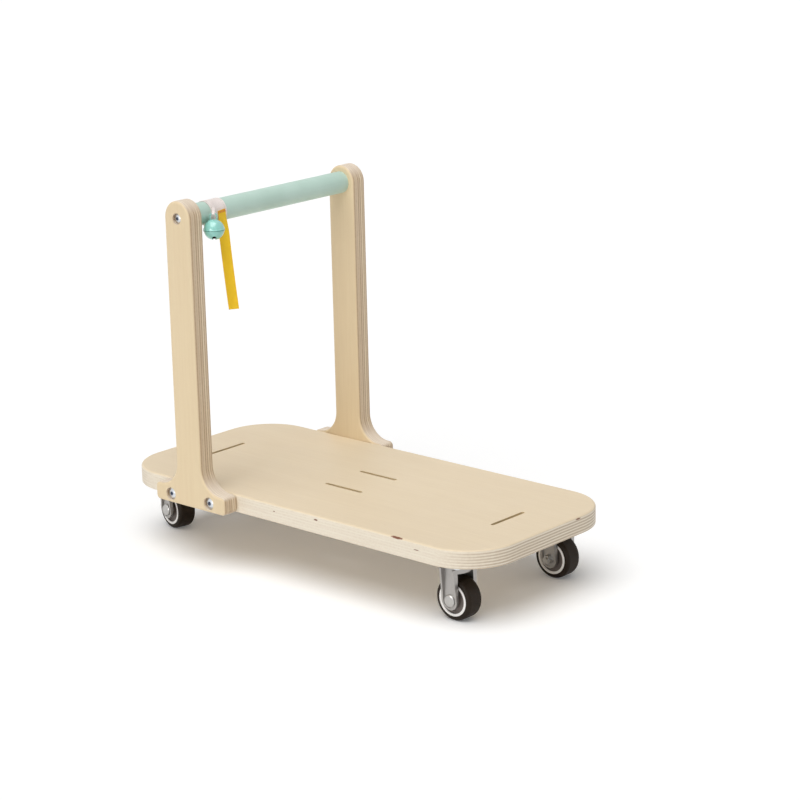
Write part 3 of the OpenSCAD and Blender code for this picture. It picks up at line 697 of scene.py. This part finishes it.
def apply_modifier(piece, kind, **settings):
    """Adds a modifier to a piece, sets it and applies it."""
    modifier = piece.modifiers.new(kind.lower(), kind)
    for name, value in settings.items():
        setattr(modifier, name, value)
    bpy.context.view_layer.objects.active = piece
    bpy.ops.object.modifier_apply(modifier=modifier.name)


def smooth(piece, angle=40):
    """Smooth shading on a piece, with edges kept sharp past that angle in degrees."""
    deselect()
    piece.select_set(True)
    bpy.context.view_layer.objects.active = piece
    bpy.ops.object.shade_smooth_by_angle(angle=math.radians(angle))


def cloth_grid(name, across, along, place):
    """Sheet of cloth from a flat grid: place turns a share across and a share along into a point."""
    deselect()
    bpy.ops.mesh.primitive_grid_add(x_subdivisions=across, y_subdivisions=along, size=1)
    piece = bpy.context.object
    piece.name = piece.data.name = name
    for vertex in piece.data.vertices:
        vertex.co = place(vertex.co.x + 0.5, vertex.co.y + 0.5)
    return piece


def ease(share):
    """Smooth start and end for a share from 0 to 1."""
    share = min(max(share, 0.0), 1.0)
    return share * share * (3 - 2 * share)


def part_way(first, last, share):
    """Number that lies that share of the way from the first to the last."""
    return first + (last - first) * share


bar_low, bar_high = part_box("handle_bar")
bar_middle = (bar_low + bar_high) / 2
bar_radius = (bar_high.z - bar_low.z) / 2
cuff_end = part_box("cuff")[1].y
ring_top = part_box("bell_ring")[1].z
ribbon_low, ribbon_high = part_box("ribbon")


def round_bar(angle, distance, y):
    """Point round the bar's axis: angle in degrees from +X towards +Z."""
    turn = math.radians(angle)
    return Vector((bar_middle.x + distance * math.cos(turn), y, bar_middle.z + distance * math.sin(turn)))


# Sizes that follow from the bar: radius of the cuff's cloth, its turn round the bar and the share of it
# that laps, and the radius at which the tab and the ribbon lie on it
CUFF_RADIUS = bar_radius + CUFF_CLEARANCE + CLOTH_THICKNESS / 2
CUFF_TURN = math.degrees(CUFF_LENGTH / CUFF_RADIUS)
LAP_SHARE = (CUFF_TURN - 360) / CUFF_TURN
STRIP_RADIUS = CUFF_RADIUS + CLOTH_THICKNESS


def cuff_point(across, along):
    """Point of the cuff's cloth, which laps over its own start below the bar."""
    start, end = (1 - share * LAP_SHARE for share in LAP_CLIMB)
    lap = ease((along - start) / (end - start))
    ripple = CUFF_RIPPLE * math.sin(along * RIPPLE_WAVES) * (abs(across - 0.5) * 2) ** 2
    wobble = CUFF_WOBBLE * math.sin(along * WOBBLE_WAVES + across)
    y = cuff_end - (1 - across) * CUFF_WIDTH + wobble
    return round_bar(CUFF_START + along * CUFF_TURN, CUFF_RADIUS + lap * LAP_LIFT + ripple, y)


def make_cuff(cloth):
    """Cloth cuff round the bar, which laps over its own start."""
    cuff = cloth_grid("cuff_cloth", 16, 120, cuff_point)
    apply_modifier(cuff, "SOLIDIFY", thickness=CLOTH_THICKNESS, offset=0.0)
    cuff.data.materials.append(cloth)
    smooth(cuff)
    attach(cuff, ROOT)
    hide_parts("cuff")
    return cuff


def make_tab(cloth):
    """Narrow strip folded round the wire of the bell's ring and sewn down on the cuff at both ends."""
    wire, axis = joint_line("bell_swing")
    outward = Vector((-axis.y, axis.x, 0))
    loop = ring_top - wire.z + CLOTH_THICKNESS
    sewn, risen, folded, landed = TAB_STOPS

    def on_cuff(side, angle):
        start = wire + axis * side
        lying = round_bar(angle, STRIP_RADIUS, 0)
        point = start + outward * ((lying.x - start.x) / outward.x)
        return Vector((point.x, point.y, lying.z))

    def round_wire(side, angle):
        turn = math.radians(angle)
        return wire + axis * side + (outward * math.cos(turn) + Vector((0, 0, math.sin(turn)))) * loop

    def tab_point(across, along):
        side = (0.5 - across) * TAB_WIDTH
        if along < sewn:
            return on_cuff(side, part_way(*TAB_UPPER_END, along / sewn))
        if along < risen:
            share = (along - sewn) / (risen - sewn)
            return on_cuff(side, TAB_UPPER_END[1]).lerp(round_wire(side, TAB_FOLD[0]), share)
        if along < folded:
            return round_wire(side, part_way(*TAB_FOLD, (along - risen) / (folded - risen)))
        if along < landed:
            share = (along - folded) / (landed - folded)
            return round_wire(side, TAB_FOLD[1]).lerp(on_cuff(side, TAB_LOWER_END[0]), share)
        return on_cuff(side, part_way(*TAB_LOWER_END, (along - landed) / (1 - landed)))

    tab = cloth_grid("cuff_tab", 4, 80, tab_point)
    apply_modifier(tab, "SOLIDIFY", thickness=STRIP_THICKNESS, offset=0.0)
    tab.data.materials.append(cloth)
    smooth(tab)
    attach(tab, ROOT)
    return tab


def ribbon_point(across, along):
    """Point of the ribbon: sewn flat on the cuff at its top, soon turned towards its side as it falls."""
    width, length = RIBBON_FLAT
    lean = math.asin((ribbon_high.y - ribbon_low.y - width) / length)
    start, end = RIBBON_TURN
    twist = math.radians(RIBBON_TWIST) * ease((along - start) / (end - start))
    drop = along * length * math.cos(lean)
    above = max(ribbon_high.z - drop - bar_middle.z, 0.0)
    x = bar_middle.x + math.sqrt(STRIP_RADIUS * STRIP_RADIUS - above * above)
    y = ribbon_low.y + width / 2 + along * length * math.sin(lean)
    side = (across - 0.5) * width
    slant = side * math.sin(lean) * math.cos(twist)
    point = Vector((x + side * math.sin(twist), y + side * math.cos(twist), ribbon_high.z - drop + slant))
    return point + RIBBON_SWAY * along * along


def make_ribbon():
    """Woven ribbon that hangs from the cuff."""
    ribbon = cloth_grid("ribbon_cloth", 10, 90, ribbon_point)
    apply_modifier(ribbon, "SOLIDIFY", thickness=STRIP_THICKNESS, offset=0.0)
    woven = woven_cloth(
        "yellow_ribbon", RIBBON_FLAT, (0.0004, 0.0009),
        ((255, 214, 33), (255, 207, 28), (251, 191, 20)), (250, 187, 22), 0.00012,
    )
    ribbon.data.materials.append(woven)
    smooth(ribbon)
    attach(ribbon, ROOT)
    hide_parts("ribbon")
    return ribbon


def make_stitch():
    """One stitch along X, which is copied for all the others."""
    deselect()
    bpy.ops.mesh.primitive_uv_sphere_add(segments=8, ring_count=6, radius=1)
    stitch = bpy.context.object
    stitch.data.transform(Matrix.Diagonal((STITCH_LENGTH / 2, STITCH_RADIUS, STITCH_RADIUS, 1)))
    return stitch


def make_stitches(name, thread, places):
    """Row of stitches: places gives the middle, the direction and the outward side of each one."""
    pattern = make_stitch()
    stitches = []
    for middle, direction, outward in places:
        stitch = pattern.copy()
        stitch.data = pattern.data.copy()
        bpy.context.scene.collection.objects.link(stitch)
        sideways = direction.cross(outward).normalized()
        turn = Matrix((direction.normalized(), sideways, outward.normalized())).transposed().to_4x4()
        stitch.data.transform(Matrix.Translation(middle) @ turn)
        stitches.append(stitch)
    bpy.data.objects.remove(pattern)
    deselect()
    for stitch in stitches:
        stitch.select_set(True)
    bpy.context.view_layer.objects.active = stitches[0]
    bpy.ops.object.join()
    row = bpy.context.object
    row.name = row.data.name = name
    row.data.materials.append(thread)
    smooth(row, 180)
    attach(row, ROOT)
    return row


def cuff_stitch_places():
    """Two rows of stitches round the cuff, one along each edge."""
    count = int(CUFF_LENGTH * (1 - LAP_SHARE) / STITCH_PITCH)
    for edge in HEM_EDGES:
        for number in range(count):
            along = LAP_SHARE * HEM_START + (number + 0.5) / count * (1 - LAP_SHARE)
            here, ahead = cuff_point(edge, along), cuff_point(edge, along + HEM_STEP)
            outward = (here - round_bar(0, 0, here.y)).normalized()
            yield here + outward * HEM_LIFT, ahead - here, outward


def ribbon_stitch_places():
    """Close rows of stitches across the top of the ribbon, each shifted from the one above."""
    count = int(RIBBON_FLAT[0] / STITCH_LENGTH)
    for row in range(TACK_ROWS):
        along = (row + 1) * TACK_PITCH / RIBBON_FLAT[1]
        for number in range(count):
            here = ribbon_point((number + TACK_SHIFTS[row % 2]) / count, along)
            yield here + Vector((CLOTH_THICKNESS / 2, 0, 0)), Vector((0, 1, 0)), Vector((1, 0, 0))


def dress_bar():
    """Cuff, tab, ribbon and their stitches on the bar."""
    cotton = woven_cloth(
        "cotton_cuff", (CUFF_WIDTH, CUFF_LENGTH), (0.00055, 0.00055),
        ((250, 241, 237), (246, 234, 229), (228, 210, 203)), (248, 238, 233), 0.00014,
    )
    white_thread = sewing_thread("white_thread", (240, 234, 226), (212, 202, 192))
    orange_thread = sewing_thread("orange_thread", (240, 158, 84), (222, 130, 62))
    cuff = make_cuff(cotton)
    tab = make_tab(cotton)
    hem = make_stitches("cuff_stitches", white_thread, cuff_stitch_places())
    ribbon = make_ribbon()
    seam = make_stitches("ribbon_stitches", orange_thread, ribbon_stitch_places())


# Studio


def set_camera():
    """Camera at the photograph's place, turn and lens."""
    azimuth, elevation, roll = map(math.radians, (CAMERA_AZIMUTH, CAMERA_ELEVATION, CAMERA_ROLL))
    ahead = Vector((-math.sin(azimuth), math.cos(azimuth), 0))
    back = Vector((0, 0, math.sin(elevation))) - ahead * math.cos(elevation)
    level = Vector((math.cos(azimuth), math.sin(azimuth), 0))
    upward = back.cross(level)
    right = level * math.cos(roll) + upward * math.sin(roll)
    up = upward * math.cos(roll) - level * math.sin(roll)
    lens = bpy.data.cameras.new("photo_camera")
    lens.sensor_width = SENSOR_WIDTH
    lens.lens = SENSOR_WIDTH * FOCAL_PIXELS / PHOTO_SIDE
    camera = bpy.data.objects.new("photo_camera", lens)
    bpy.context.scene.collection.objects.link(camera)
    turn = Matrix((right, up, back)).transposed().to_4x4()
    camera.matrix_world = Matrix.Translation(CAMERA_PLACE) @ turn
    bpy.context.scene.camera = camera


def seen_directly(tree):
    """1 on the rays that show the background: those of the camera, and of mirrors and glass."""
    path = tree.nodes.new("ShaderNodeLightPath").outputs
    mirrored = sums(tree, "MAXIMUM", path["Is Glossy Ray"], path["Is Transmission Ray"])
    return sums(tree, "MAXIMUM", path["Is Camera Ray"], mirrored)


def set_sky():
    """White surroundings that light the object evenly."""
    world = bpy.data.worlds.new("studio")
    bpy.context.scene.world = world
    world.use_nodes = True
    tree = world.node_tree
    background = tree.nodes["Background"].inputs
    background["Color"].default_value = WHITE
    feed(tree, background["Strength"], between(tree, seen_directly(tree), SKY_STRENGTH, 1.0))


def set_floor():
    """Pale floor that stays white where no shadow falls."""
    deselect()
    bpy.ops.mesh.primitive_plane_add(size=FLOOR_SIDE)
    floor = bpy.context.object
    floor.name = "floor"
    material, tree, shader = new_material("floor_white")
    shader["Base Color"].default_value = FLOOR_COLOUR
    shader["Roughness"].default_value = 0.9
    shader["Specular IOR Level"].default_value = 0.0
    shader["Emission Color"].default_value = WHITE
    feed(tree, shader["Emission Strength"], sums(tree, "MULTIPLY", seen_directly(tree), FLOOR_LIFT))
    floor.data.materials.append(material)


def set_lamps():
    """A wide lamp overhead, and a smaller one low on the near side that leaves a glint on the bell."""
    for name, strength, direction, spread in (
        ("key", KEY_STRENGTH, KEY_DIRECTION, KEY_SPREAD),
        ("fill", FILL_STRENGTH, FILL_DIRECTION, FILL_SPREAD),
    ):
        light = bpy.data.lights.new(name, "SUN")
        light.energy = strength
        light.angle = math.radians(spread)
        lamp = bpy.data.objects.new(name, light)
        bpy.context.scene.collection.objects.link(lamp)
        lamp.location = direction * LAMP_DISTANCE
        lamp.rotation_euler = (-direction).to_track_quat("-Z", "Y").to_euler()


bpy.context.scene.view_settings.view_transform = "Standard"
set_camera()
set_sky()
set_floor()
set_lamps()
finish_solids()
dress_bar()
